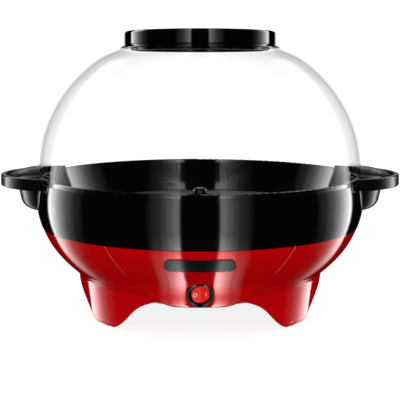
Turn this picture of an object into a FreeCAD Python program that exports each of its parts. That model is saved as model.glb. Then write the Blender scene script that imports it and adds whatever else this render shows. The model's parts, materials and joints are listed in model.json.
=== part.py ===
import FreeCAD, Part
import math
import os

# Popcorn maker. Millimetres, +Z up, -Y is the front with the switch.
# The origin is the middle of the footprint, on the table.

V = FreeCAD.Vector
UP = V(0, 0, 1)

# Heights that stack the object
FOOT_Z = 1.0
COVER_Z = 21.8
BOWL_Z = 24.3
JOINT_Z = 84.6
RIM_Z = 127.3
COLLAR_Z = 249.6
LID_Z = 253.0
TOP_Z = 265.8

# Walls
BOWL_WALL = 2.8
RING_WALL = 3.0
DOME_WALL = 2.4
SHEET = 1.0
FIT_GAP = 0.3

# Outer outlines, radius and height, from the bottom up
BOWL = [(84, 24.3), (104, 31.4), (121.3, 44), (139.9, 64), (150.4, 84.6)]
BIB = [(110, 28.8), (118.6, 30.4), (122, 34), (124.2, 42.8), (129.4, 51.2), (140.6, 64), (147.2, 74),
       (151.1, 84.6)]
RING = [(150.8, 84.6), (153.9, 95), (155.6, 110), (153.8, 127.3)]
DOME = [(153.8, 127.3), (152.5, 140), (147.3, 170), (133.7, 200), (110.3, 228), (95, 240), (77, 248.4)]

# Legs: a skirt under the bowl, cut by an arch in front, behind and at both sides
SKIRT_TOP = (117.0, 38.2)
SKIRT_DEPTH = 14.0
LEG_WALL = 3.0
SKIRT_LEAN = 0.15
FRONT_ARCH = [(77, 1.6), (71, 5.6), (65, 12), (54, 24.4), (37, 32.2), (0, 35)]
SIDE_ARCH = [(59.5, 1.6), (54, 6.8), (48, 13), (41.5, 19.4), (32, 26), (19, 30.4), (0, 32.2)]
FOOT = (81.6, 66.1)
PAD_R = 3.6
PAD_TOP = 5.0

# Bottom cover and its screws
COVER_R = 82.0
CAVITY_R = 76.0
BOSS_R = 79.5
BOSSES = 4
THREAD_R = 1.7
BOSS_TOP = 35.0

# Pan
PAN_FLAT_R = 60.0
PAN_Z = 78.0
PAN_BEND_R = 140.5
PAN_RIM_R = 127.0
PAN_RIM_Z = 95.0
PAN_WALL = 2.2
LEDGE_R = 136.5

# Heating element, a round tube bent to a loop with a gap at the back
ELEMENT_R = 78.0
ELEMENT_TUBE = 3.4
ELEMENT_Z = 75.4
ELEMENT_GAP = 36.0
PIN_Z = 66.5

# Handles: everything at a side turns about this upright line
HANDLE_X = 123.0
LOOP_R = 67.0
LOOP_BAND = 4.6
LOOP_Z = (121.7, 132.3)
EAR_R = 61.5
EAR_H = 13.2
LUG_R = 51.0

# Lid
LID_R = 71.2
COLLAR_R = 75.0
MOUTH_R = 67.0
VENTS = 12

# Drive
MODULE = 1.0
PINION = 12
WHEEL = 48
GEAR_STEP = MODULE * (PINION + WHEEL) / 2
FACE = 5.0
LOW_GEAR_Z = 46.0
HIGH_GEAR_Z = 52.6
PLATE_LOW_Z = 43.0
PLATE_HIGH_Z = 60.0
PLATE = 1.5
CAN_R = 27.0
CAN_Z = 27.0
SHAFT_R = 4.0
SHAFT_FLAT = 3.0
SHAFT_TOP_Z = 106.0
PILLAR_R = 50.0
PILLARS = 3
SHIELD_Z = 64.0

# Switch: middle of its face, and how far the face leans down
SWITCH = (124.2, 42.8)
SWITCH_LEAN = 13.0
BEZEL_R = 11.7
ROCKER_R = 7.6
ROCKER_TILT = 8.0
ROCKER_DEPTH = -3.0
BODY_R = 9.6

# Badge on the apron
BADGE_Z = (66.0, 77.0)
BADGE_HALF = 24.0

# Cord inlet at the back
INLET_Z = 62.0
INLET_Y = 141.5
INLET_R = 6.8
INLET_PAD_R = 12.5
CORD_R = 3.3


# ---- shapes to build with ----

def side(a, b):
    return V(a, 0, b)


def across(a, b):
    return V(0, a, b)


def flat(a, b):
    return V(a, b, 0)


def outline(plane, start, *steps):
    """Closed face. A pair is a line's end, two pairs are an arc's middle and end, a list is a curve."""
    edges = []
    here = start
    for step in steps + (start,):
        if isinstance(step, list):
            curve = Part.BSplineCurve()
            curve.interpolate([plane(*point) for point in [here] + step])
            edges.append(curve.toShape())
            here = step[-1]
        elif isinstance(step[0], tuple):
            edges.append(Part.Arc(plane(*here), plane(*step[0]), plane(*step[1])).toShape())
            here = step[1]
        elif step != here:
            edges.append(Part.LineSegment(plane(*here), plane(*step)).toShape())
            here = step
    return Part.Face(Part.Wire(edges))


def turned(start, *steps, x=0.0, y=0.0):
    """Solid turned about an upright line at x, y, from an outline of radius and height."""
    solid = outline(side, start, *steps).revolve(V(0, 0, 0), UP, 360)
    solid.translate(V(x, y, 0))
    return solid


def slab(z0, z1, start, *steps):
    face = outline(flat, start, *steps)
    face.translate(V(0, 0, z0))
    return face.extrude(V(0, 0, z1 - z0))


def prism_y(y0, y1, start, *steps):
    face = outline(side, start, *steps)
    face.translate(V(0, y0, 0))
    return face.extrude(V(0, y1 - y0, 0))


def prism_x(x0, x1, start, *steps):
    face = outline(across, start, *steps)
    face.translate(V(x0, 0, 0))
    return face.extrude(V(x1 - x0, 0, 0))


def rod(radius, z0, z1, x=0.0, y=0.0):
    return Part.makeCylinder(radius, z1 - z0, V(x, y, z0), UP)


def tube(outer, inner, z0, z1, x=0.0, y=0.0):
    return rod(outer, z0, z1, x, y).cut(rod(inner, z0, z1, x, y))


def rod_y(radius, y0, y1, z, x=0.0):
    return Part.makeCylinder(radius, y1 - y0, V(x, y0, z), V(0, 1, 0))


def block(size, middle):
    corner = V(middle[0] - size[0] / 2, middle[1] - size[1] / 2, middle[2] - size[2] / 2)
    return Part.makeBox(size[0], size[1], size[2], corner)


def joined(shapes):
    whole = shapes[0]
    for shape in shapes[1:]:
        whole = whole.fuse(shape)
    return whole.removeSplitter()


def group(shapes):
    return Part.makeCompound(shapes)


def spun(shape, angle):
    copy = shape.copy()
    copy.rotate(V(0, 0, 0), UP, angle)
    return copy


def ring_of(shape, count, start=0.0):
    return [spun(shape, start + 360.0 * i / count) for i in range(count)]


def mirrored(shape):
    return shape.mirror(V(0, 0, 0), V(1, 0, 0))


def inset(points, distance):
    """Points of a rising outline moved square to it, towards the axis."""
    curve = Part.BSplineCurve()
    curve.interpolate([side(*point) for point in points])
    moved = []
    for radius, height in points:
        slope = curve.tangent(curve.parameter(side(radius, height)))[0]
        moved.append((radius - distance * slope.z, height + distance * slope.x))
    return moved


def polar(radius, degrees):
    return radius * math.cos(math.radians(degrees)), radius * math.sin(math.radians(degrees))


# ---- red housing ----

def arch(points, prism, grow=0.0):
    """Cutter for one arch: half its outline and the same mirrored, wider by grow."""
    half = [(across_arch + grow, height + grow) for across_arch, height in points]
    half[-1] = (0.0, points[-1][1] + grow)
    low = -10.0
    reach = 150.0
    start = (half[0][0] + 4.0, low)
    toe = (half[0][0] + 2.2, half[0][1] - 1.2)
    right = [toe] + half
    left = [(-a, b) for a, b in reversed(right[:-1])]
    return prism(-reach, reach, start, right[0], right[1:] + left, (-start[0], low))


def under_arches(shape, grow=0.0):
    """Cuts both pairs of arches out of a shape, wider by grow."""
    return shape.cut(arch(FRONT_ARCH, prism_y, grow)).cut(arch(SIDE_ARCH, prism_x, grow))


def fairing(sign):
    """Low cone that blends the skirt's top into the bowl at the front or the back."""
    top_z = SKIRT_TOP[1]
    base = 113.2
    climb = 12.0
    rise = 0.708
    return turned((98, top_z), (base, top_z), (base + rise * climb, top_z + climb), (106, top_z + climb),
                  y=6.0 * sign)


def legs():
    """Thin skirt under the bowl: what the arches leave of it is four legs."""
    top_r, top_z = SKIRT_TOP
    bend_z = 6.0
    low_r = top_r - SKIRT_LEAN * (top_z - bend_z)
    inner_r = top_r - SKIRT_DEPTH - 5
    skirt = turned((inner_r, FOOT_Z), (low_r - 2.4, FOOT_Z), ((low_r - 0.8, 2.2), (low_r, bend_z)),
                   (top_r, top_z), (104, top_z + 0.8), (inner_r, 29))
    skirt = skirt.fuse(fairing(-1)).fuse(fairing(1))
    hollow = turned((90, 9), (low_r - LEG_WALL + 0.6, 9), (top_r - LEG_WALL, top_z - 2), (90, top_z - 2))
    return under_arches(skirt).cut(under_arches(hollow, LEG_WALL))


def switch_axes(shape):
    """Moves a shape made about the origin, its face towards +Z and up towards +Y, to the switch."""
    copy = shape.copy()
    copy.rotate(V(0, 0, 0), V(1, 0, 0), 90 + SWITCH_LEAN)
    copy.translate(V(0, -SWITCH[0], SWITCH[1]))
    return copy


def bib():
    """The apron in front: follows the bowl above and is steeper below, where the switch sits."""
    body = turned((100, BIB[0][1]), BIB[0], BIB[1:], (140, JOINT_Z), (116, 52), (100, 40))
    shield = prism_y(-170, -60, (-79.4, 84.6), [(-66, 63.5), (-51, 46.3), (-33, 33.5), (0, 26), (33, 33.5),
                                                (51, 46.3), (66, 63.5), (79.4, 84.6)])
    return body.common(shield)


def feet_points():
    return [(x * FOOT[0], y * FOOT[1]) for x in (-1, 1) for y in (-1, 1)]


def boss_points():
    return [polar(BOSS_R, 45 + 360 * i / BOSSES) for i in range(BOSSES)]


def bowl_cavity():
    inner = inset(BOWL, BOWL_WALL)
    return turned((0, BOWL_Z), (CAVITY_R, BOWL_Z), (CAVITY_R, BOWL_Z + BOWL_WALL), inner[0], inner[1:],
                  (inner[-1][0], 100), (0, 100))


def housing():
    inner = inset(BOWL, BOWL_WALL)
    shell = turned(BOWL[0], BOWL[1:], (inner[-1][0], JOINT_Z), inner[-1], list(reversed(inner[:-1])),
                   (CAVITY_R, BOWL_Z + BOWL_WALL), (CAVITY_R, BOWL_Z))
    lip = tube(147.2, 144.6, 79, 90)
    inlet_pad = rod_y(INLET_PAD_R, 120, INLET_Y, INLET_Z)
    body = shell.fuse(legs()).fuse(bib()).fuse(inlet_pad)
    body = body.cut(bowl_cavity()).cut(tube(160, 140, JOINT_Z, 100))
    body = body.fuse(lip)
    bosses = [tube(5, THREAD_R, BOWL_Z + BOWL_WALL, BOSS_TOP, x, y) for x, y in boss_points()]
    body = body.fuse(group(bosses))
    for x, y in boss_points():
        body = body.cut(rod(THREAD_R, COVER_Z, BOSS_TOP, x, y))
    for x, y in feet_points():
        body = body.cut(rod(PAD_R, 0, PAD_TOP, x, y))
    body = body.cut(rod_y(INLET_R, 100, 160, INLET_Z)).cut(rod_y(INLET_PAD_R, INLET_Y, 170, INLET_Z))
    body = body.cut(switch_axes(rod(BODY_R, -60, 5)))
    body = body.cut(switch_axes(rod(BEZEL_R + 0.2, 0, 30)))
    return body.removeSplitter()


def foot_pads():
    return group([rod(PAD_R, 0, PAD_TOP, x, y) for x, y in feet_points()])


def badge(body):
    """Plain raised bar with round ends, where a maker would put a name."""
    outer = inset(BIB, -0.9)
    inner = inset(BIB, 1.2)
    skin = turned(inner[0], outer[0], outer[1:], inner[-1], list(reversed(inner[:-1])))
    low, high = BADGE_Z
    middle = (low + high) / 2
    end = BADGE_HALF + (high - low) / 2
    bar = prism_y(-170, -120, (-BADGE_HALF, low), (BADGE_HALF, low), ((end, middle), (BADGE_HALF, high)),
                  (-BADGE_HALF, high), ((-end, middle), (-BADGE_HALF, low)))
    return skin.common(bar).cut(body)


def bottom_cover():
    edge = ((COVER_R + 2.8, COVER_Z + 1.1), (COVER_R + 3.8, BOWL_Z))
    plate = turned((0, COVER_Z), (COVER_R, COVER_Z), edge, (0, BOWL_Z))
    rows = 7
    pitch = 7.0
    for row in range(rows):
        for x in (-40, 40):
            plate = plate.cut(block((26, 2.6, 8), (x, pitch * (row - (rows - 1) / 2), COVER_Z + 1.2)))
    for x, y in boss_points():
        plate = plate.cut(rod(THREAD_R, COVER_Z - 1, BOWL_Z + 1, x, y))
    posts = ring_of(tube(5, 1.5, BOWL_Z, PLATE_LOW_Z, PILLAR_R, 0), PILLARS, 60)
    return plate.fuse(group(posts)).removeSplitter()


def bottom_screws():
    low = COVER_Z - 2.2
    head = turned((0, low), (2.2, low), ((3.3, low + 0.7), (3.5, COVER_Z)), (THREAD_R, COVER_Z),
                  (THREAD_R, BOSS_TOP - 2), (0, BOSS_TOP - 2))
    head = head.cut(block((4.5, 0.9, 2), (0, 0, low + 0.2))).cut(block((0.9, 4.5, 2), (0, 0, low + 0.2)))
    screws = []
    for x, y in boss_points():
        screw = head.copy()
        screw.translate(V(x, y, 0))
        screws.append(screw)
    return group(screws)


# ---- black ring and base handles ----

def ring_solid():
    """Everything inside the ring's outer face."""
    return turned((0, JOINT_Z), RING[0], RING[1:], (0, RIM_Z))


def upper_ring():
    inner = inset(RING, RING_WALL)
    ledge_z = PAN_RIM_Z
    body = turned((147.4, JOINT_Z), RING[0], RING[1:], (150.6, RIM_Z), (150.3, 130.2),
                  ((149.4, 130.9), (148.3, 130.4)), (147.8, RIM_Z), (LEDGE_R, 98), (LEDGE_R, ledge_z),
                  (130, ledge_z), (130, 92.5), (137.5, 92.5),
                  (140.2, 98.4), (149.6, 124.6), inner[3], list(reversed(inner[1:3])), (147.4, 90.3))
    groove = tube(134.5, 131.5, ledge_z - 1.2, ledge_z)
    return body.cut(groove)


def pan_seal():
    return tube(134.5, 131.5, PAN_RIM_Z - 1.2, PAN_RIM_Z)


def lug(body):
    """Grip under the dome's handle: a round cup, open at the top, that grows out of the ring."""
    floor = 99.2
    top = 119.6
    cup = turned((0, floor), (34, floor), ((45, 102), (48.8, 109)), (LUG_R, top), (LUG_R - 3, top),
                 (45.9, 109.6), ((43, 104.4), (33.4, floor + 3)), (0, floor + 3), x=HANDLE_X)
    return cup.cut(ring_solid()).cut(body).removeSplitter()


# ---- pan, heater and heat shield ----

def pan_end():
    """Angle, in degrees, over which the dished part rises to the pan's rim."""
    return math.degrees(math.asin((PAN_RIM_R - PAN_FLAT_R) / PAN_BEND_R))


def pan_arc(offset, degrees):
    """Point of the pan's dished part, offset from its underside towards the inside."""
    radius = PAN_BEND_R - offset
    middle_z = PAN_Z + PAN_BEND_R
    turn = math.radians(degrees)
    return PAN_FLAT_R + radius * math.sin(turn), middle_z - radius * math.cos(turn)


def heating_pan():
    end = pan_end()
    return turned((7, PAN_Z), (PAN_FLAT_R, PAN_Z), (pan_arc(0, end / 2), pan_arc(0, end)),
                  (LEDGE_R - 0.2, PAN_RIM_Z), (LEDGE_R - 0.2, PAN_RIM_Z + 2),
                  (pan_arc(PAN_WALL, end)[0], PAN_RIM_Z + 2), pan_arc(PAN_WALL, end),
                  (pan_arc(PAN_WALL, end / 2), (PAN_FLAT_R, PAN_Z + PAN_WALL)), (7, PAN_Z + PAN_WALL))


def under_pan(shape):
    """Cuts a shape that rises to the pan off at its underside."""
    end = pan_end()
    dish = (pan_arc(0, end / 2), pan_arc(0, end))
    above = turned((0, PAN_Z), (PAN_FLAT_R, PAN_Z), dish, (PAN_RIM_R, 130), (0, 130))
    return shape.cut(above)


def element_pin(sign):
    """Where one end of the heating element turns down."""
    return polar(ELEMENT_R, 90 - sign * ELEMENT_GAP / 2)


def heating_element():
    loop = Part.makeTorus(ELEMENT_R, ELEMENT_TUBE, V(0, 0, ELEMENT_Z), UP, -180, 180, 360 - ELEMENT_GAP)
    loop = spun(loop, 90 + ELEMENT_GAP / 2)
    pieces = [loop]
    for sign in (-1, 1):
        x, y = element_pin(sign)
        pieces.append(Part.makeSphere(ELEMENT_TUBE, V(x, y, ELEMENT_Z)))
        pieces.append(rod(ELEMENT_TUBE, 69, ELEMENT_Z, x, y))
        pieces.append(rod(1.2, PIN_Z, 69, x, y))
    return joined(pieces)


def element_clamps():
    bar = block((20, 8, 1.4), (75, 0, ELEMENT_Z - ELEMENT_TUBE - 0.7))
    post = rod(2.5, ELEMENT_Z - ELEMENT_TUBE, 90, 68, 0)
    return group(ring_of(under_pan(bar.fuse(post)), 4, 10))


def thermostat():
    body = rod(8, 73.5, PAN_Z, 0, 40).fuse(rod(6, 69.5, 73.5, 0, 40))
    blades = [block((0.8, 5, 4), (x, 40, 67.8)) for x in (-3.5, 3.5)]
    return joined([body] + blades)


def thermal_fuse():
    body = rod_y(2.6, -8, 8, PAN_Z - 2.7, -38)
    leads = rod_y(0.6, -16, 16, PAN_Z - 2.7, -38)
    clip = block((9, 4, 0.8), (-38, 0, PAN_Z - 0.4 - 5.3))
    ears = [block((1, 4, 5.7), (x, 0, PAN_Z - 2.85)) for x in (-42, -34)]
    return joined([body, leads, clip] + ears)


def heat_shield():
    dish = turned((14, SHIELD_Z), (108, SHIELD_Z), ((111.5, 65.5), (113, 69)), (112, 69),
                  ((110.6, 66.3), (107.6, 65)), (14, 65))
    for sign in (-1, 1):
        dish = dish.cut(rod(4, 60, 70, *element_pin(sign)))
    return dish


def shield_standoffs():
    return group(ring_of(under_pan(rod(3, SHIELD_Z + SHEET, 95, 100, 0)), 3, 30))


# ---- motor and gearbox ----

def gear_outline(teeth, turn):
    """Involute gear outline, short teeth with backlash, turned by a part of a tooth."""
    pitch = MODULE * teeth / 2
    base = pitch * math.cos(math.radians(20))
    tip = pitch + 0.75 * MODULE
    root = pitch - 1.05 * MODULE
    spread = math.tan(math.radians(20)) - math.radians(20)
    half = (math.pi / 2 - 0.16) / teeth

    def flank(radius):
        """Half of the tooth's angle at a radius."""
        if radius <= base:
            return half + spread
        angle = math.acos(base / radius)
        return half + spread - (math.tan(angle) - angle)

    def at(radius, angle):
        return V(radius * math.cos(angle), radius * math.sin(angle), 0)

    low = max(base, root + 0.05)
    radii = [low + (tip - low) * step / 3 for step in range(4)]
    edges = []
    for i in range(teeth):
        middle = 2 * math.pi * (i + turn) / teeth
        after = middle + 2 * math.pi / teeth
        rising = [at(radius, middle - flank(radius)) for radius in radii]
        falling = [at(radius, middle + flank(radius)) for radius in reversed(radii)]
        foot_in = at(root, middle - flank(low))
        foot_out = at(root, middle + flank(low))
        edges.append(Part.LineSegment(foot_in, rising[0]).toShape())
        for run in (rising, falling):
            curve = Part.BSplineCurve()
            curve.interpolate(run)
            edges.append(curve.toShape())
            if run is rising:
                edges.append(Part.LineSegment(rising[-1], falling[0]).toShape())
        edges.append(Part.LineSegment(falling[-1], foot_out).toShape())
        edges.append(Part.LineSegment(foot_out, at(root, after - flank(low))).toShape())
    return Part.Face(Part.Wire(edges))


def gear(teeth, z0, z1, x=0.0, turn=0.0):
    face = gear_outline(teeth, turn)
    face.translate(V(x, 0, z0))
    return face.extrude(V(0, 0, z1 - z0))


def motor_can():
    can = turned((2.2, CAN_Z), (CAN_R, CAN_Z), (CAN_R, PLATE_LOW_Z), (CAN_R - SHEET, PLATE_LOW_Z),
                 (CAN_R - SHEET, CAN_Z + SHEET), (2.2, CAN_Z + SHEET))
    cup = tube(4, 2.2, CAN_Z + SHEET, CAN_Z + 2.4)
    return can.fuse(cup)


def motor_coil():
    return tube(25.6, 14.5, CAN_Z + SHEET, PLATE_LOW_Z - 1.4)


def gearbox_plate(z, bore):
    reach = PILLAR_R + 8
    plate = slab(z, z + PLATE, (reach, 0), ((0, reach), (-reach, 0)), ((0, -reach), (reach, 0)))
    plate = plate.cut(rod(bore, z - 1, z + 3)).cut(rod(1.5, z - 1, z + 3, GEAR_STEP))
    for hole in ring_of(rod(1.5, z - 1, z + 3, PILLAR_R), PILLARS, 60):
        plate = plate.cut(hole)
    return plate


def gearbox_lower_plate():
    return gearbox_plate(PLATE_LOW_Z, 2.6)


def gearbox_upper_plate():
    neck = tube(7, SHAFT_R + 0.1, PLATE_HIGH_Z + PLATE, SHIELD_Z)
    return gearbox_plate(PLATE_HIGH_Z, SHAFT_R + 0.1).fuse(neck).removeSplitter()


def gearbox_pillars():
    return group(ring_of(tube(3.5, 1.5, PLATE_LOW_Z + PLATE, PLATE_HIGH_Z, PILLAR_R), PILLARS, 60))


def motor_screws():
    top = PLATE_HIGH_Z + PLATE
    head = rod(3, top, top + 2.2)
    for slot in ((4, 0.9, 2), (0.9, 4, 2)):
        head = head.cut(block(slot, (0, 0, top + 2.2)))
    screw = head.fuse(rod(1.5, PLATE_LOW_Z - 12, top)).removeSplitter()
    screw.translate(V(PILLAR_R, 0, 0))
    return group(ring_of(screw, PILLARS, 60))


def cluster_pin():
    return rod(1.5, PLATE_LOW_Z, PLATE_HIGH_Z + PLATE, GEAR_STEP)


def cluster_gear():
    wheel = gear(WHEEL, LOW_GEAR_Z, LOW_GEAR_Z + FACE, GEAR_STEP, 0.5)
    pinion = gear(PINION, LOW_GEAR_Z + FACE, HIGH_GEAR_Z + FACE + 0.5, GEAR_STEP, 0.0)
    spacer = rod(3.2, PLATE_LOW_Z + PLATE + 0.3, PLATE_HIGH_Z - 0.3, GEAR_STEP)
    bore = rod(1.62, PLATE_LOW_Z, PLATE_HIGH_Z + 2, GEAR_STEP)
    return joined([wheel, pinion, spacer]).cut(bore)


def rotor_magnet():
    return tube(12.5, 1.6, CAN_Z + 3.5, CAN_Z + 14)


def rotor_shaft():
    return rod(1.6, CAN_Z + 1.6, HIGH_GEAR_Z - 0.6)


def rotor_pinion():
    top = LOW_GEAR_Z + FACE
    return gear(PINION, LOW_GEAR_Z, top, 0.0, 0.0).cut(rod(1.6, LOW_GEAR_Z - 1, top + 1))


def output_gear():
    wheel = gear(WHEEL, HIGH_GEAR_Z, HIGH_GEAR_Z + FACE, 0.0, 0.5)
    hub = rod(8, HIGH_GEAR_Z + FACE, PLATE_HIGH_Z - 0.3)
    return joined([wheel, hub]).cut(rod(SHAFT_R, HIGH_GEAR_Z - 1, PLATE_HIGH_Z))


def output_shaft():
    shaft = rod(SHAFT_R, HIGH_GEAR_Z, SHAFT_TOP_Z)
    return shaft.cut(block((10, 10, 12), (SHAFT_FLAT + 5, 0, SHAFT_TOP_Z - 5)))


def shaft_bushing():
    return turned((SHAFT_R + 0.1, 70), (7, 70), (7, PAN_Z + PAN_WALL), (10, PAN_Z + PAN_WALL), (10, 82),
                  (7.2, 83), (6.6, 92), (SHAFT_R + 0.1, 92))


def bushing_nut():
    hexagon = [polar(9, 60 * i) for i in range(7)]
    nut = slab(PAN_Z - 4, PAN_Z, hexagon[0], *hexagon[1:6])
    return nut.cut(rod(7, 70, 80))


def shaft_seal():
    return turned((SHAFT_R + 0.1, 92), (6.6, 92), (6.2, 93.2), (SHAFT_R + 0.1, 93.6))


# ---- switch, inlet and wires ----

def switch_bezel():
    bezel = turned((8.4, 0), (BEZEL_R, 0), (BEZEL_R, 1.0), ((11.2, 1.9), (10.2, 2.2)), (9.2, 1.9),
                   (8.4, 0.8))
    return switch_axes(bezel)


def switch_body():
    sleeve = tube(BODY_R, 8.4, -20, 0)
    floor = tube(8.4, 0.9, -20, -14)
    return switch_axes(joined([sleeve, floor]))


def switch_terminals():
    blade = block((4.8, 0.8, 9), (0, 0, -24.5))
    blades = []
    for y in (-5, 0, 5):
        copy = blade.copy()
        copy.translate(V(0, y, 0))
        blades.append(copy)
    return switch_axes(group(blades))


def rocker():
    """Round rocker with two faces in a shallow V, pivoted on an upright line inside the body."""
    shoulder = ROCKER_DEPTH - 1
    button = rod(ROCKER_R, shoulder, 6).fuse(rod(ROCKER_R - 0.6, shoulder - 5, shoulder))
    rise = (ROCKER_R + 1) * math.tan(math.radians(ROCKER_TILT))
    edge = ROCKER_R + 1
    low = ROCKER_DEPTH - 8
    faces = prism_y(-20, 20, (-edge, low), (edge, low), (edge, 0.3 + rise), (0, 0.3), (-edge, 0.3 + rise))
    button = button.common(faces)
    button.rotate(V(0, 0, ROCKER_DEPTH), V(0, 1, 0), ROCKER_TILT)
    return switch_axes(button)


def cord_inlet():
    flange = rod_y(10.5, INLET_Y, INLET_Y + 2.4, INLET_Z)
    sleeve = rod_y(INLET_R, INLET_Y - 21, INLET_Y, INLET_Z)
    collar = Part.makeCone(7.2, 5.6, 6, V(0, INLET_Y + 2.4, INLET_Z), V(0, 1, 0))
    nut = rod_y(8.5, INLET_Y - 21, INLET_Y - 16.5, INLET_Z)
    return joined([flange, sleeve, collar, nut]).cut(rod_y(CORD_R, 100, 160, INLET_Z))


def terminal_block():
    body = block((32, 12, 12), (0, 66, BOWL_Z + 6))
    for x in (-10, 0, 10):
        body = body.cut(rod(2.4, BOWL_Z + 8, BOWL_Z + 13, x, 66))
    return body


def wire_run(*points):
    """A wire along straight runs with rounded turns."""
    pieces = []
    for start, end in zip(points, points[1:]):
        run = V(*end).sub(V(*start))
        pieces.append(Part.makeCylinder(1.1, run.Length, V(*start), run))
    for point in points[1:-1]:
        pieces.append(Part.makeSphere(1.1, V(*point)))
    return joined(pieces)


def internal_wires():
    """Two leads from the terminal block up through the heat shield to the heater's pins."""
    leads = []
    for sign in (-1, 1):
        x, y = element_pin(sign)
        start = 10 * sign
        leads.append(wire_run((start, 72.7, BOWL_Z + 6), (start, 84, 33), (start, 96, 45), (x, 90, 58),
                              (x, y, 60), (x, y, PIN_Z)))
    return group(leads)


# ---- stirrer ----

def stirrer_hub():
    outer = turned((0, 94.4), (8, 94.4), ((10, 96), (10.2, 99)), (9, 106), ((7.6, 108.8), (6, 109.2)),
                   (0, 109.2))
    hole = rod(SHAFT_R + FIT_GAP, 90, SHAFT_TOP_Z + 0.6)
    flat_side = block((10, 12, 14), (SHAFT_FLAT + FIT_GAP + 5, 0, 103))
    hub = outer.cut(hole.cut(flat_side))
    for angle in (0, 180):
        hub = hub.cut(spun(Part.makeCylinder(1.6, 12, V(5.5, 0, 99), V(1, 0, 0)), 90 + angle))
    return hub


def stirrer_knob():
    return turned((0, 109.2), (6, 109.2), ((7.6, 111), (7.4, 113.4)), ((6.2, 116), (3, 117)), (0, 117))


def stirrer_arms():
    """Bent wire arm that leaves the hub, drops to the pan and follows its dish."""
    wire_r = 1.6
    lift = PAN_WALL + wire_r + 1.8
    high = 99.0
    bend = 8.0
    low = PAN_Z + lift
    turn_start = 15.0
    diagonal = bend * math.sin(math.radians(45))
    drop = high - low - 2 * (bend - diagonal)
    first_end = (turn_start + diagonal, high - bend + diagonal)
    second_start = (first_end[0] + drop, first_end[1] - drop)
    second_end = (second_start[0] + diagonal, low)
    half = math.radians(22.5)
    first_middle = (turn_start + bend * math.sin(half), high - bend + bend * math.cos(half))
    second_middle = (second_end[0] - bend * math.sin(half), low + bend - bend * math.cos(half))
    route = [Part.LineSegment(side(5.5, high), side(turn_start, high)),
             Part.Arc(side(turn_start, high), side(*first_middle), side(*first_end)),
             Part.LineSegment(side(*first_end), side(*second_start)),
             Part.Arc(side(*second_start), side(*second_middle), side(*second_end)),
             Part.LineSegment(side(*second_end), side(PAN_FLAT_R, low)),
             Part.Arc(side(PAN_FLAT_R, low), side(*pan_arc(lift, 11)), side(*pan_arc(lift, 22)))]
    spine = Part.Wire([piece.toShape() for piece in route])
    circle = Part.Wire([Part.Circle(V(5.5, 0, high), V(1, 0, 0), wire_r).toShape()])
    arm = spine.makePipeShell([circle], True, True)
    tip = Part.makeSphere(wire_r, V(*side(*pan_arc(lift, 22))))
    return group(ring_of(arm.fuse(tip), 2, 90))


# ---- dome ----

def dome_solid():
    return turned((0, 100), (DOME[0][0], 100), DOME[0], DOME[1:], (72, COLLAR_Z), (0, COLLAR_Z))


def ear_dome(radius, height, z=RIM_Z):
    """Low elliptical hood about the handle's upright line."""
    points = []
    for step in range(1, 7):
        turn = math.pi / 2 * step / 6
        points.append((radius * math.cos(turn), z + height * math.sin(turn)))
    points[-1] = (0.0, z + height)
    return turned((0, z), (radius, z), points, x=HANDLE_X)


def clear_dome():
    inner = inset(DOME, DOME_WALL)
    under_collar = COLLAR_Z - DOME_WALL
    inside_points = list(reversed(inner[1:-1])) + [(inner[0][0], RIM_Z)]
    shell = turned(DOME[0], DOME[1:], (72, COLLAR_Z), (MOUTH_R, COLLAR_Z), (MOUTH_R, under_collar),
                   (73, under_collar), inner[-1], inside_points)
    ear = ear_dome(EAR_R, EAR_H).cut(ear_dome(EAR_R - DOME_WALL, EAR_H - DOME_WALL))
    ear = ear.cut(dome_solid())
    return joined([shell, ear, mirrored(ear)])


def dome_handle():
    """Black loop with a hood inside it that lines the clear dome's own hood."""
    low, high = LOOP_Z
    inner_r = LOOP_R - LOOP_BAND
    lining_r = EAR_R - DOME_WALL
    lining_h = EAR_H - DOME_WALL
    wall = 2.0
    apron_r = RING[2][0] + 1.2
    band = turned((inner_r, low), (LOOP_R - 1.2, low), ((LOOP_R - 0.3, low + 0.4), (LOOP_R, low + 1.4)),
                  (LOOP_R, high - 1.4), ((LOOP_R - 0.3, high - 0.4), (LOOP_R - 1.2, high)), (inner_r, high),
                  x=HANDLE_X)
    band = band.cut(dome_solid()).cut(rod(apron_r, 110, RIM_Z + 0.3))
    band = band.cut(block((HANDLE_X * 2, 200, 60), (0, 0, RIM_Z)))
    plate = tube(apron_r + 2.6, 145, RIM_Z, 141).common(ear_dome(lining_r, lining_h))
    plate = plate.cut(dome_solid())
    lining = ear_dome(lining_r, lining_h).cut(ear_dome(lining_r - wall, lining_h - wall)).cut(dome_solid())
    apron = tube(apron_r + 2.6, apron_r, low, RIM_Z).common(rod(inner_r + 0.5, low, RIM_Z, HANDLE_X))
    web = tube(inner_r + 0.5, inner_r - 7, low, low + 2.4, HANDLE_X)
    skirt = tube(lining_r, lining_r - wall, low, RIM_Z, HANDLE_X)
    return joined([band, plate, lining, apron] + [rim.cut(rod(apron_r, 100, 150)) for rim in (web, skirt)])


def collar_vents():
    """Ring between dome and lid, with a raised middle and a circle of vent holes."""
    low = COLLAR_Z - 0.6
    high = COLLAR_Z + 1.4
    lip_z = COLLAR_Z - 2.2
    step = 1.0
    plate = turned((0, low + step), (34, low + step), (38, low), (62, low), (62, lip_z), (64.5, lip_z),
                   (MOUTH_R - 0.2, COLLAR_Z), (COLLAR_R - 0.3, COLLAR_Z),
                   ((COLLAR_R, COLLAR_Z + 0.3), (COLLAR_R - 0.3, COLLAR_Z + 0.8)),
                   (LID_R + 0.4, LID_Z - 0.6), (LID_R - 0.4, LID_Z), (66, LID_Z), (64, high), (38, high),
                   (34, high + step), (0, high + step))
    for hole in ring_of(rod(5.2, 240, 256, 51), VENTS, 15):
        plate = plate.cut(hole)
    return plate


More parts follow.
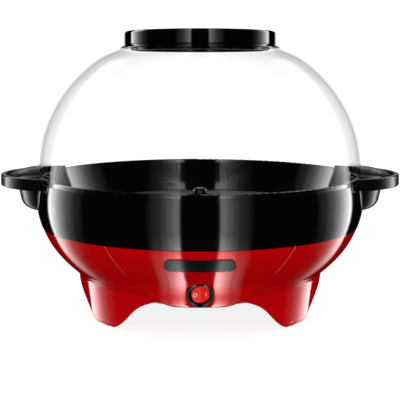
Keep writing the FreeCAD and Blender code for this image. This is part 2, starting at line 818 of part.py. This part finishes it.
def lid_cap():
    return turned((0, TOP_Z), (50, TOP_Z - 0.2), (LID_R - 2.4, TOP_Z - 0.7), ((LID_R - 0.9, TOP_Z - 1.2),
                  (LID_R - 0.2, TOP_Z - 2.4)), (LID_R, LID_Z), (LID_R - 2.4, LID_Z),
                  (LID_R - 2.7, TOP_Z - 4), (LID_R - 4.6, TOP_Z - 3), (0, TOP_Z - 2.4))


# ---- the whole object ----

def make_parts():
    red = housing()
    ring = upper_ring()
    right_lug = lug(ring)
    right_handle = dome_handle()
    return {
        "red_housing": red,
        "name_badge": badge(red),
        "foot_pads": foot_pads(),
        "bottom_cover": bottom_cover(),
        "bottom_screws": bottom_screws(),
        "upper_ring": ring,
        "right_base_handle": right_lug,
        "left_base_handle": mirrored(right_lug),
        "heating_pan": heating_pan(),
        "pan_seal": pan_seal(),
        "heating_element": heating_element(),
        "element_clamps": element_clamps(),
        "thermostat": thermostat(),
        "thermal_fuse": thermal_fuse(),
        "heat_shield": heat_shield(),
        "shield_standoffs": shield_standoffs(),
        "motor_can": motor_can(),
        "motor_coil": motor_coil(),
        "gearbox_lower_plate": gearbox_lower_plate(),
        "gearbox_upper_plate": gearbox_upper_plate(),
        "gearbox_pillars": gearbox_pillars(),
        "motor_screws": motor_screws(),
        "cluster_pin": cluster_pin(),
        "cluster_gear": cluster_gear(),
        "rotor_magnet": rotor_magnet(),
        "rotor_shaft": rotor_shaft(),
        "rotor_pinion": rotor_pinion(),
        "output_gear": output_gear(),
        "output_shaft": output_shaft(),
        "shaft_bushing": shaft_bushing(),
        "bushing_nut": bushing_nut(),
        "shaft_seal": shaft_seal(),
        "switch_bezel": switch_bezel(),
        "switch_body": switch_body(),
        "switch_terminals": switch_terminals(),
        "switch_rocker": rocker(),
        "cord_inlet": cord_inlet(),
        "terminal_block": terminal_block(),
        "internal_wires": internal_wires(),
        "stirrer_hub": stirrer_hub(),
        "stirrer_arms": stirrer_arms(),
        "stirrer_knob": stirrer_knob(),
        "clear_dome": clear_dome(),
        "right_dome_handle": right_handle,
        "left_dome_handle": mirrored(right_handle),
        "vent_collar": collar_vents(),
        "lid_cap": lid_cap(),
    }


os.makedirs("parts", exist_ok=True)
for name, shape in make_parts().items():
    shape.exportStep("parts/" + name + ".step")
    volume = round(shape.Volume / 1000, 2)
    print(name, "volume", volume, "cm3, solids", len(shape.Solids), "valid", shape.isValid())
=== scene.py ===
import bmesh
import bpy
import json
import math
from mathutils import Matrix, Vector


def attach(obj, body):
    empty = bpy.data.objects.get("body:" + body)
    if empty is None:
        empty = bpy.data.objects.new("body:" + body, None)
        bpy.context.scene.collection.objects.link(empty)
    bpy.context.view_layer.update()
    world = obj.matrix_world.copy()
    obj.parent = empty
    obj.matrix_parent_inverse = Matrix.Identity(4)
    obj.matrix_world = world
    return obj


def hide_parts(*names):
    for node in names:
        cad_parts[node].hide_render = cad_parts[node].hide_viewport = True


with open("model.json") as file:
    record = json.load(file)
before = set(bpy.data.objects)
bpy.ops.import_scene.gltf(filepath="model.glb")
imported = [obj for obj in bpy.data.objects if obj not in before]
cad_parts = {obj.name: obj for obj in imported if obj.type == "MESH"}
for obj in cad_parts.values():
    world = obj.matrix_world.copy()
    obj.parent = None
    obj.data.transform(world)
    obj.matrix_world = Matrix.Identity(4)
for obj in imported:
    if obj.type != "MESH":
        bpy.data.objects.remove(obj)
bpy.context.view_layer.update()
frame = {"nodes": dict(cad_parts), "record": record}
nodes = frame["nodes"]
scene = bpy.context.scene

MM = 0.001

# Camera, in metres and degrees: in front of the object, as high as the dome's shoulder, looking a
# little down
CAMERA_DISTANCE = 0.8574
CAMERA_HEIGHT = 0.2271
CAMERA_PITCH = 8.096
CAMERA_LENS = 80.66
SENSOR_WIDTH = 36.0

# Studio light that shows in reflections only. Each stop of a strip is a bearing round from the front,
# in degrees, and a level.
INNER_STRIP = [(0.0, 0.0), (6.3, 0.0), (7.1, 1.0), (8.0, 0.95), (9.6, 0.62), (11.8, 0.3), (14.0, 0.12),
               (19.0, 0.0)]
OUTER_STRIP = [(0.0, 0.0), (42.0, 0.0), (47.0, 0.05), (51.5, 0.19), (54.2, 0.38), (56.9, 0.65),
               (60.0, 0.97), (63.5, 1.22), (65.4, 0.0)]
INNER_LIGHT = 5.0
OUTER_LIGHT = 7.0
QUARTER_TURN = 90.0

# The line that bearings are taken about is this angle's cosine behind the middle of the room
BEARING_AXIS = 13.0

# Fades: a range of height, or of depth towards the back, and the light's level at its two ends
INNER_LOW_FADE = (-0.8, -0.5, 1.9, 1.0)
INNER_BACK_FADE = (0.3, 0.8, 1.0, 0.0)
OUTER_LOW_FADE = (-0.65, -0.2, 0.05, 1.0)
OUTER_BACK_FADE = (0.64, 0.8, 1.0, 0.0)

# Glow beyond the strips, towards the back: a range of bearings, in degrees, and its level past them
EDGE_GLOW_FROM = 80.0
EDGE_GLOW_TO = 86.0
EDGE_GLOW = 0.5

# White light on everything else, dimmer below the horizon, and the floor's own glow and shade
WHITE_FADE = (-0.3, -0.05, 0.45, 1.15)
FLOOR_SIZE = 60.0
FLOOR_GLOW = 0.85
FLOOR_SHADE = 0.3
FLOOR_ROUGHNESS = 0.9

# Range that holds most of a noise texture's values, and where a colour ramp between two shades turns
NOISE_RANGE = (0.3, 0.7)
SHADE_RANGE = (0.35, 0.65)
BEVEL_SAMPLES = 6

# Clear dome: outer outline in millimetres, radius and height, from the rim up to the collar, where its
# wall ends at the neck's radius
DOME_OUTLINE = [(153.8, 127.3), (152.5, 140.0), (147.3, 170.0), (133.7, 200.0), (110.3, 228.0),
                (95.0, 240.0), (77.0, 248.4)]
DOME_WALL = 2.4
COLLAR_Z = 249.6
NECK_R = 74.4
OUTLINE_STEPS = 10
DOME_SEGMENTS = 192
SHARP_ANGLE = 40.0

# Clear hoods inside the handles: each is the part of a flat dome, turned about an upright line at one
# side, that stands outside the big dome. Its ribs run from its rim to a little inside the big dome's wall.
HANDLE_X = 123.0
EAR_R = 61.5
EAR_H = 13.2
EAR_ANGLES = 64
EAR_STEPS = 14
EAR_ROOT = 0.8
ROOT_HALVINGS = 30

# Switch: middle of its face and its lean, then the rocker's pivot, the rise of its fold over the face
# and the tilt of its two halves
SWITCH_Y = -124.2
SWITCH_Z = 42.8
SWITCH_LEAN = 13.0
ROCKER_DEPTH = -3.0
ROCKER_RISE = 0.3
ROCKER_TILT = 8.0

# Marks on the rocker: distance from its fold, half their height, width of their line, how far they
# stand out, and the share of that which their outer edge has
MARK_X = 4.6
MARK_SIZE = 1.8
MARK_LINE = 0.55
MARK_HEIGHT = 0.1
MARK_SHOULDER = 0.7
OVAL_POINTS = 32


# ---- camera, floor and studio light ----

def add_camera():
    """Camera that faces along Y."""
    data = bpy.data.cameras.new("camera")
    data.lens = CAMERA_LENS
    data.sensor_width = SENSOR_WIDTH
    camera = bpy.data.objects.new("camera", data)
    camera.location = (0.0, -CAMERA_DISTANCE, CAMERA_HEIGHT)
    camera.rotation_euler = (math.radians(90.0 - CAMERA_PITCH), 0.0, 0.0)
    scene.collection.objects.link(camera)
    scene.camera = camera


def new_material(name, color, roughness):
    """A material, its node tree and its shader, to be given their detail by the caller."""
    material = bpy.data.materials.new(name)
    material.use_nodes = True
    tree = material.node_tree
    shader = tree.nodes["Principled BSDF"]
    shader.inputs["Base Color"].default_value = color + (1.0,)
    shader.inputs["Roughness"].default_value = roughness
    return material, tree, shader


def add_floor():
    """White sweep that glows, so that only a faint shadow shows on it."""
    bpy.ops.mesh.primitive_plane_add(size=FLOOR_SIZE, location=(0.0, 0.0, 0.0))
    floor = bpy.context.object
    floor.name = "floor"
    material, tree, shader = new_material("floor", (FLOOR_SHADE,) * 3, FLOOR_ROUGHNESS)
    shader.inputs["Specular IOR Level"].default_value = 0.0
    shader.inputs["Emission Color"].default_value = (1.0, 1.0, 1.0, 1.0)
    shader.inputs["Emission Strength"].default_value = FLOOR_GLOW
    floor.data.materials.append(material)
    floor.visible_diffuse = False
    floor.visible_glossy = False
    floor.visible_shadow = False


def math_node(tree, operation, first, second=None, clamp=False):
    """Output of a math node whose two inputs are sockets or numbers."""
    node = tree.nodes.new("ShaderNodeMath")
    node.operation = operation
    node.use_clamp = clamp
    for socket, value in zip(node.inputs, (first, second)):
        if isinstance(value, (int, float)):
            socket.default_value = value
        elif value is not None:
            tree.links.new(value, socket)
    return node.outputs[0]


def spread(tree, value, from_low, from_high, to_low, to_high):
    """A value taken from one range to another, and held at its ends."""
    node = tree.nodes.new("ShaderNodeMapRange")
    node.inputs["From Min"].default_value = from_low
    node.inputs["From Max"].default_value = from_high
    node.inputs["To Min"].default_value = to_low
    node.inputs["To Max"].default_value = to_high
    tree.links.new(value, node.inputs["Value"])
    return node.outputs["Result"]


def strip(tree, quarter, stops, strength):
    """Light that depends on the bearing, given as a share of a quarter turn."""
    ramp = tree.nodes.new("ShaderNodeValToRGB")
    ramp.color_ramp.interpolation = "EASE"
    elements = ramp.color_ramp.elements
    elements.remove(elements[0])
    elements[0].position = 0.0
    elements[0].color = (0.0, 0.0, 0.0, 1.0)
    for angle, level in stops[1:]:
        elements.new(angle / QUARTER_TURN).color = (level, level, level, 1.0)
    tree.links.new(quarter, ramp.inputs[0])
    return math_node(tree, "MULTIPLY", ramp.outputs[0], strength)


def background(tree, strength):
    """White light of a strength that a socket gives."""
    node = tree.nodes.new("ShaderNodeBackground")
    node.inputs["Color"].default_value = (1.0, 1.0, 1.0, 1.0)
    tree.links.new(strength, node.inputs["Strength"])
    return node.outputs[0]


def faded(tree, light, where, fade):
    """A light that changes its level over a range of height or depth."""
    return math_node(tree, "MULTIPLY", light, spread(tree, where, *fade))


def add_world():
    """White studio. Glossy surfaces see dark walls with two pairs of upright strip lights instead."""
    world = bpy.data.worlds.new("studio")
    world.use_nodes = True
    scene.world = world
    tree = world.node_tree
    tree.nodes.clear()
    output = tree.nodes.new("ShaderNodeOutputWorld")
    path = tree.nodes.new("ShaderNodeLightPath")
    coords = tree.nodes.new("ShaderNodeTexCoord")
    split = tree.nodes.new("ShaderNodeSeparateXYZ")
    tree.links.new(coords.outputs["Generated"], split.inputs[0])
    depth = split.outputs["Y"]
    height = split.outputs["Z"]

    # the bearing is taken about a line behind the room's middle, so that the strips look straight
    aside = math_node(tree, "ABSOLUTE", split.outputs["X"])
    ahead = math_node(tree, "SUBTRACT", math.cos(math.radians(BEARING_AXIS)), depth)
    bearing = math_node(tree, "ARCTAN2", aside, ahead)
    quarter = math_node(tree, "DIVIDE", bearing, math.pi / 2)
    inner = strip(tree, quarter, INNER_STRIP, INNER_LIGHT)
    inner = faded(tree, inner, height, INNER_LOW_FADE)
    inner = faded(tree, inner, depth, INNER_BACK_FADE)
    outer = strip(tree, quarter, OUTER_STRIP, OUTER_LIGHT)
    outer = faded(tree, outer, height, OUTER_LOW_FADE)
    outer = faded(tree, outer, depth, OUTER_BACK_FADE)
    glow_from = EDGE_GLOW_FROM / QUARTER_TURN
    glow_to = EDGE_GLOW_TO / QUARTER_TURN
    glow = spread(tree, quarter, glow_from, glow_to, 0.0, EDGE_GLOW)
    both = math_node(tree, "ADD", inner, outer)
    strips = background(tree, math_node(tree, "ADD", both, glow))

    # a ray that came through the clear dome sees the white studio, like any other that isn't a reflection
    white = background(tree, spread(tree, height, *WHITE_FADE))
    glossy = path.outputs["Is Glossy Ray"]
    through = path.outputs["Is Transmission Ray"]
    mirrored = math_node(tree, "SUBTRACT", glossy, through, clamp=True)
    mix = tree.nodes.new("ShaderNodeMixShader")
    tree.links.new(mirrored, mix.inputs[0])
    tree.links.new(white, mix.inputs[1])
    tree.links.new(strips, mix.inputs[2])
    tree.links.new(mix.outputs[0], output.inputs[0])


# ---- materials ----

def place(tree, stretch=(1.0, 1.0, 1.0)):
    """Place on the object in metres, scaled along its axes."""
    coords = tree.nodes.new("ShaderNodeTexCoord")
    mapping = tree.nodes.new("ShaderNodeMapping")
    mapping.inputs["Scale"].default_value = stretch
    tree.links.new(coords.outputs["Object"], mapping.inputs["Vector"])
    return mapping.outputs["Vector"]


def noise(tree, scale, detail=3.0, stretch=(1.0, 1.0, 1.0)):
    """Uneven mottling, its scale in repeats per metre."""
    node = tree.nodes.new("ShaderNodeTexNoise")
    node.inputs["Scale"].default_value = scale
    node.inputs["Detail"].default_value = detail
    tree.links.new(place(tree, stretch), node.inputs["Vector"])
    return node.outputs["Fac"]


def waves(tree, scale, kind, direction):
    """Even bands across an axis, or rings round it."""
    node = tree.nodes.new("ShaderNodeTexWave")
    node.wave_type = kind
    if kind == "RINGS":
        node.rings_direction = direction
    else:
        node.bands_direction = direction
    node.inputs["Scale"].default_value = scale
    tree.links.new(place(tree), node.inputs["Vector"])
    return node.outputs["Fac"]


def vary_roughness(tree, shader, value, low, high):
    """Roughness that follows a texture between two levels."""
    tree.links.new(spread(tree, value, *NOISE_RANGE, low, high), shader.inputs["Roughness"])


def vary_color(tree, shader, value, first, second):
    """Colour that follows a texture from one shade to another."""
    ramp = tree.nodes.new("ShaderNodeValToRGB")
    for element, position, shade in zip(ramp.color_ramp.elements, SHADE_RANGE, (first, second)):
        element.position = position
        element.color = shade + (1.0,)
    tree.links.new(value, ramp.inputs[0])
    tree.links.new(ramp.outputs[0], shader.inputs["Base Color"])


def relief(tree, shader, height, distance, strength, edge=0.0004):
    """Fine surface relief over edges that are rounded by a small radius, both in metres."""
    rounded = tree.nodes.new("ShaderNodeBevel")
    rounded.samples = BEVEL_SAMPLES
    rounded.inputs["Radius"].default_value = edge
    bump = tree.nodes.new("ShaderNodeBump")
    bump.inputs["Strength"].default_value = strength
    bump.inputs["Distance"].default_value = distance
    tree.links.new(height, bump.inputs["Height"])
    tree.links.new(rounded.outputs[0], bump.inputs["Normal"])
    tree.links.new(bump.outputs[0], shader.inputs["Normal"])


def gloss_plastic(name, color, roughness, ior, edge, tint=(1.0, 1.0, 1.0)):
    """Polished moulding with faint flow marks in its gloss and a very shallow ripple."""
    material, tree, shader = new_material(name, color, roughness)
    shader.inputs["IOR"].default_value = ior
    shader.inputs["Specular Tint"].default_value = tint + (1.0,)
    flow_marks = noise(tree, scale=35.0, detail=4.0)
    ripple = noise(tree, scale=160.0, detail=2.0)
    vary_roughness(tree, shader, flow_marks, low=roughness, high=roughness + 0.03)
    relief(tree, shader, ripple, distance=0.00001, strength=0.35, edge=edge)
    return material


def red_plastic():
    """Red housing, with reflections that take some of its colour."""
    return gloss_plastic("red_plastic", color=(0.55, 0.0008, 0.003), roughness=0.045, ior=1.7, edge=0.0014,
                         tint=(1.0, 0.33, 0.34))


def black_plastic():
    """High gloss black of the ring, the collar, the lid and the small black parts."""
    return gloss_plastic("black_plastic", color=(0.0012, 0.0012, 0.0014), roughness=0.045, ior=1.38,
                         edge=0.00025)


def handle_plastic():
    """The same black, with a softer gloss where hands go."""
    return gloss_plastic("handle_plastic", color=(0.002, 0.002, 0.0023), roughness=0.22, ior=1.27,
                         edge=0.0006)


def badge_plastic():
    """Plain bar on the apron, a little lighter and less polished than the ring."""
    return gloss_plastic("badge_plastic", color=(0.006, 0.0055, 0.006), roughness=0.12, ior=1.28,
                         edge=0.0004)


def lamp_red():
    """Rocker of tinted clear plastic with a lamp behind it."""
    material, tree, shader = new_material("lamp_red", (0.8, 0.012, 0.006), 0.12)
    shader.inputs["Emission Color"].default_value = (1.0, 0.03, 0.012, 1.0)
    shader.inputs["Emission Strength"].default_value = 0.14
    shader.inputs["Coat Weight"].default_value = 0.4
    vary_roughness(tree, shader, noise(tree, scale=300.0), low=0.1, high=0.16)
    relief(tree, shader, noise(tree, scale=500.0), distance=0.00001, strength=0.3, edge=0.0005)
    return material


def clear_plastic():
    """Clear moulding that barely bends light, has a gloss coat and greys where it is seen edge on."""
    material, tree, shader = new_material("clear_plastic", (0.99, 0.995, 0.995), 0.0)
    shader.inputs["IOR"].default_value = 1.001
    shader.inputs["Coat Weight"].default_value = 0.32
    shader.inputs["Coat Roughness"].default_value = 0.0
    shader.inputs["Coat IOR"].default_value = 1.3
    shader.inputs["Transmission Weight"].default_value = 1.0
    depth = tree.nodes.new("ShaderNodeVolumeAbsorption")
    depth.inputs["Color"].default_value = (0.1, 0.1, 0.1, 1.0)
    depth.inputs["Density"].default_value = 9.0
    tree.links.new(depth.outputs[0], tree.nodes["Material Output"].inputs["Volume"])
    return material


def grained(name, color, other, roughness, grain, depth):
    """Matt moulding with a fine spark-eroded grain."""
    material, tree, shader = new_material(name, color, roughness)
    specks = noise(tree, scale=grain, detail=4.0)
    vary_color(tree, shader, specks, color, other)
    vary_roughness(tree, shader, specks, low=roughness, high=roughness + 0.12)
    relief(tree, shader, specks, distance=depth, strength=0.6)
    return material


def metal(name, color, roughness, stretch):
    """Rolled or drawn metal: fine streaks along the axis that stretch makes small."""
    material, tree, shader = new_material(name, color, roughness)
    shader.inputs["Metallic"].default_value = 1.0
    streaks = noise(tree, scale=500.0, detail=4.0, stretch=stretch)
    vary_roughness(tree, shader, streaks, low=roughness, high=roughness + 0.15)
    relief(tree, shader, streaks, distance=0.00001, strength=0.3)
    return material


def coated_aluminium():
    """Pan with a dark non-stick coating: fine sparkle over turning marks."""
    material, tree, shader = new_material("coated_aluminium", (0.02, 0.02, 0.021), 0.35)
    sparkle = noise(tree, scale=3500.0, detail=1.0)
    vary_color(tree, shader, sparkle, (0.012, 0.012, 0.013), (0.055, 0.054, 0.056))
    vary_roughness(tree, shader, noise(tree, scale=60.0), low=0.28, high=0.42)
    relief(tree, shader, waves(tree, 260.0, "RINGS", "Z"), distance=0.00003, strength=0.5)
    return material


def copper_winding():
    """Enamelled wire in tight turns."""
    material, tree, shader = new_material("copper_winding", (0.7, 0.28, 0.13), 0.3)
    shader.inputs["Metallic"].default_value = 1.0
    shader.inputs["Coat Weight"].default_value = 0.5
    turns = waves(tree, 620.0, "BANDS", "Z")
    vary_roughness(tree, shader, noise(tree, scale=400.0), low=0.25, high=0.4)
    relief(tree, shader, turns, distance=0.0002, strength=0.9)
    return material


def wire_sleeve():
    """Woven glass sleeve on the inner leads."""
    material, tree, shader = new_material("wire_sleeve", (0.6, 0.57, 0.48), 0.8)
    weave = tree.nodes.new("ShaderNodeTexVoronoi")
    weave.inputs["Scale"].default_value = 1800.0
    tree.links.new(place(tree, (1.0, 1.0, 0.5)), weave.inputs["Vector"])
    vary_color(tree, shader, weave.outputs["Distance"], (0.66, 0.63, 0.54), (0.42, 0.39, 0.31))
    relief(tree, shader, weave.outputs["Distance"], distance=0.0002, strength=0.8)
    return material


def nylon():
    """Milky gear plastic."""
    material, tree, shader = new_material("nylon", (0.8, 0.79, 0.73), 0.42)
    shader.inputs["Subsurface Weight"].default_value = 0.2
    shader.inputs["Subsurface Scale"].default_value = 0.002
    vary_roughness(tree, shader, noise(tree, scale=600.0), low=0.36, high=0.5)
    relief(tree, shader, noise(tree, scale=1500.0), distance=0.00002, strength=0.4)
    return material


def mark_paint():
    """White paint on the rocker's raised marks."""
    material, tree, shader = new_material("mark_paint", (0.8, 0.74, 0.72), 0.4)
    vary_roughness(tree, shader, noise(tree, scale=1500.0), low=0.35, high=0.5)
    return material


# One finish for each material slot of the record. A grained one has two colours, a roughness, the
# grain's scale and its depth, and a metal has a colour, a roughness and the stretch of its streaks.
FINISHES = {
    "red_plastic": red_plastic(),
    "black_plastic": black_plastic(),
    "handle_plastic": handle_plastic(),
    "badge_plastic": badge_plastic(),
    "rubber": grained("rubber", (0.018, 0.018, 0.018), (0.03, 0.03, 0.03), 0.75, 2200.0, 0.00004),
    "cover_plastic": grained("cover_plastic", (0.02, 0.02, 0.021), (0.035, 0.035, 0.037), 0.45, 1800.0,
                             0.00005),
    "steel": metal("steel", (0.6, 0.6, 0.62), 0.2, (1.0, 0.08, 1.0)),
    "coated_aluminium": coated_aluminium(),
    "aluminium": metal("aluminium", (0.78, 0.79, 0.8), 0.3, (0.05, 1.0, 1.0)),
    "silicone": grained("silicone", (0.42, 0.06, 0.035), (0.36, 0.045, 0.025), 0.45, 900.0, 0.00002),
    "ceramic": grained("ceramic", (0.8, 0.78, 0.72), (0.68, 0.65, 0.58), 0.5, 1200.0, 0.00005),
    "copper_winding": copper_winding(),
    "magnet": grained("magnet", (0.05, 0.05, 0.052), (0.08, 0.08, 0.083), 0.4, 1500.0, 0.00003),
    "nylon": nylon(),
    "brass": metal("brass", (0.75, 0.55, 0.25), 0.2, (1.0, 1.0, 0.08)),
    "lamp_red": lamp_red(),
    "clear_plastic": clear_plastic(),
    "wire_sleeve": wire_sleeve(),
}


def dress_frame():
    """Gives each CAD node the finish of its slot in the record."""
    slots = {part["node"]: part["material_slot"] for part in frame["record"]["subparts"]}
    for name, node in nodes.items():
        node.data.materials.clear()
        node.data.materials.append(FINISHES[slots[name]])


# ---- clear dome ----

def smooth_points(points, steps):
    """Points of a smooth curve through a list of points, with steps spans between each two."""
    count = len(points)
    corners = [Vector(point) for point in points]
    lengths = [(corners[i + 1] - corners[i]).length for i in range(count - 1)]
    slopes = []
    for i in range(count):
        before = (corners[i] - corners[i - 1]) / lengths[i - 1] if i > 0 else None
        after = (corners[i + 1] - corners[i]) / lengths[i] if i < count - 1 else None
        if before is None or after is None:
            slopes.append(before or after)
        else:
            slopes.append((before * lengths[i] + after * lengths[i - 1]) / (lengths[i] + lengths[i - 1]))
    smooth = []
    for i in range(count - 1):
        for step in range(steps):
            t = step / steps
            from_corner = 2 * t ** 3 - 3 * t ** 2 + 1
            from_slope = t ** 3 - 2 * t ** 2 + t
            to_corner = 3 * t ** 2 - 2 * t ** 3
            to_slope = t ** 3 - t ** 2
            smooth.append(corners[i] * from_corner + slopes[i] * lengths[i] * from_slope
                          + corners[i + 1] * to_corner + slopes[i + 1] * lengths[i] * to_slope)
    return smooth + [corners[-1]]


def inside(points, distance):
    """The same line moved square to itself, towards the axis."""
    moved = []
    for i, point in enumerate(points):
        along = (points[min(i + 1, len(points) - 1)] - points[max(i - 1, 0)]).normalized()
        moved.append(Vector((point.x - distance * along.y, point.y + distance * along.x)))
    return moved


def join_rings(mesh, rings):
    """Faces between each closed ring of points and the next."""
    size = len(rings[0])
    for low, high in zip(rings, rings[1:]):
        for i in range(size):
            mesh.faces.new((low[i], low[(i + 1) % size], high[(i + 1) % size], high[i]))


def lathe(mesh, profile, segments):
    """Turns a closed outline of radius and height, in millimetres, about the Z axis."""
    rings = []
    for radius, height in profile:
        ring = []
        for i in range(segments):
            turn = 2 * math.pi * i / segments
            across = radius * math.cos(turn) * MM
            along = radius * math.sin(turn) * MM
            ring.append(mesh.verts.new((across, along, height * MM)))
        rings.append(ring)
    join_rings(mesh, rings + [rings[0]])


def dome_radius(outline, height):
    """Radius of the dome's outer face at a height."""
    for low, high in zip(outline, outline[1:]):
        if low.y <= height <= high.y:
            return low.x + (high.x - low.x) * (height - low.y) / (high.y - low.y)
    return outline[0].x


def ear_line(outline, radius, height, share, sign):
    """One rib of a hood's skin, from its rim in to the dome. share is its turn, from -1 to 1."""
    rim = outline[0].x
    reach = math.acos((rim ** 2 - HANDLE_X ** 2 - radius ** 2) / (2 * HANDLE_X * radius))
    turn = share * reach

    def point(rise):
        out = radius * math.cos(rise)
        level = outline[0].y + height * math.sin(rise)
        return Vector((HANDLE_X + out * math.cos(turn), out * math.sin(turn), level))

    # the rib ends where it is just inside the dome's outer face
    low = 0.0
    high = math.pi / 2
    for _ in range(ROOT_HALVINGS):
        middle = (low + high) / 2
        here = point(middle)
        if math.hypot(here.x, here.y) > dome_radius(outline, here.z) - EAR_ROOT:
            low = middle
        else:
            high = middle
    rib = [point(low * step / EAR_STEPS) for step in range(EAR_STEPS + 1)]
    return [Vector((sign * spot.x, spot.y, spot.z)) for spot in rib]


def add_ear(mesh, outline, sign):
    """One hood as a closed shell of ribs, with sign 1 for the right one and -1 for the left."""
    rings = []
    for i in range(EAR_ANGLES + 1):
        share = 2.0 * i / EAR_ANGLES - 1.0
        outer = ear_line(outline, EAR_R, EAR_H, share, sign)
        inner = ear_line(outline, EAR_R - DOME_WALL, EAR_H - DOME_WALL, share, sign)
        rings.append([mesh.verts.new(spot * MM) for spot in outer + inner[::-1]])
    join_rings(mesh, rings)
    for end in (rings[0], rings[-1]):
        mesh.faces.new(end)


def finish_mesh(name, mesh, material, body):
    """Turns a bmesh into a piece that rides on a body."""
    bmesh.ops.recalc_face_normals(mesh, faces=mesh.faces)
    data = bpy.data.meshes.new(name)
    mesh.to_mesh(data)
    mesh.free()
    data.polygons.foreach_set("use_smooth", [True] * len(data.polygons))
    data.set_sharp_from_angle(angle=math.radians(SHARP_ANGLE))
    data.materials.append(material)
    piece = bpy.data.objects.new(name, data)
    scene.collection.objects.link(piece)
    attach(piece, body)
    return piece


def add_dome():
    """The clear cover as one smooth moulding with a hood over each handle."""
    outer = smooth_points(DOME_OUTLINE, OUTLINE_STEPS)
    inner = inside(outer, DOME_WALL)
    inner[0] = Vector((inner[0].x, outer[0].y))
    profile = outer + [Vector((NECK_R, COLLAR_Z))] + inner[::-1]
    mesh = bmesh.new()
    lathe(mesh, profile, DOME_SEGMENTS)
    for sign in (-1, 1):
        add_ear(mesh, outer, sign)
    dome = finish_mesh("dome_shell", mesh, FINISHES["clear_plastic"], "dome")
    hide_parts("clear_dome")
    dome.visible_shadow = False
    dome.visible_glossy = False


# ---- marks on the rocker ----

def rocker_frame(side):
    """Place of a mark on the left or right half of the rocker, -1 or 1, its Z axis out of the face."""
    spot = Matrix.Translation((0.0, SWITCH_Y * MM, SWITCH_Z * MM))
    lean = Matrix.Rotation(math.radians(90.0 + SWITCH_LEAN), 4, "X")
    pivot = Matrix.Translation((0.0, 0.0, ROCKER_DEPTH * MM))
    tilt = pivot @ Matrix.Rotation(math.radians(ROCKER_TILT), 4, "Y") @ pivot.inverted()
    rise = ROCKER_RISE + MARK_X * math.tan(math.radians(ROCKER_TILT))
    half = Matrix.Translation((side * MARK_X * MM, 0.0, rise * MM))
    return spot @ lean @ tilt @ half @ Matrix.Rotation(math.radians(-side * ROCKER_TILT), 4, "Y")


def add_mark(name, outer, inner, side, filled):
    """Raised mark on one half of the rocker: a band between two loops, or all that is inside them."""
    top = MARK_HEIGHT * MM
    levels = [(outer, -top), (outer, top * MARK_SHOULDER), (inner, top)]
    if not filled:
        levels.append((inner, -top))
    mesh = bmesh.new()
    rings = []
    for loop, height in levels:
        rings.append([mesh.verts.new((x * MM, y * MM, height)) for x, y in loop])
    if filled:
        join_rings(mesh, rings)
        mesh.faces.new(rings[-1])
        mesh.faces.new(rings[0])
    else:
        join_rings(mesh, rings + [rings[0]])
    mesh.transform(rocker_frame(side))
    finish_mesh(name, mesh, mark_paint(), "rocker")


def oval(half_width, half_height):
    """Loop with straight sides and round ends."""
    straight = half_height - half_width
    points = []
    for i in range(OVAL_POINTS):
        turn = 2 * math.pi * (i + 0.5) / OVAL_POINTS
        lift = straight if math.sin(turn) > 0 else -straight
        points.append((half_width * math.cos(turn), half_width * math.sin(turn) + lift))
    return points


def add_marks():
    """A ring on the left half and a bar with sloping sides on the right one."""
    hole = MARK_SIZE - MARK_LINE
    add_mark("off_mark", oval(MARK_SIZE, MARK_SIZE), oval(hole, hole), -1, filled=False)
    half_line = MARK_LINE / 2
    slope = MARK_LINE / 6
    bar = oval(half_line, MARK_SIZE)
    bar_top = oval(half_line - slope, MARK_SIZE - slope)
    add_mark("on_mark", bar, bar_top, 1, filled=True)


add_camera()
add_floor()
add_world()
dress_frame()
add_dome()
add_marks()
scene.view_settings.view_transform = "Standard"
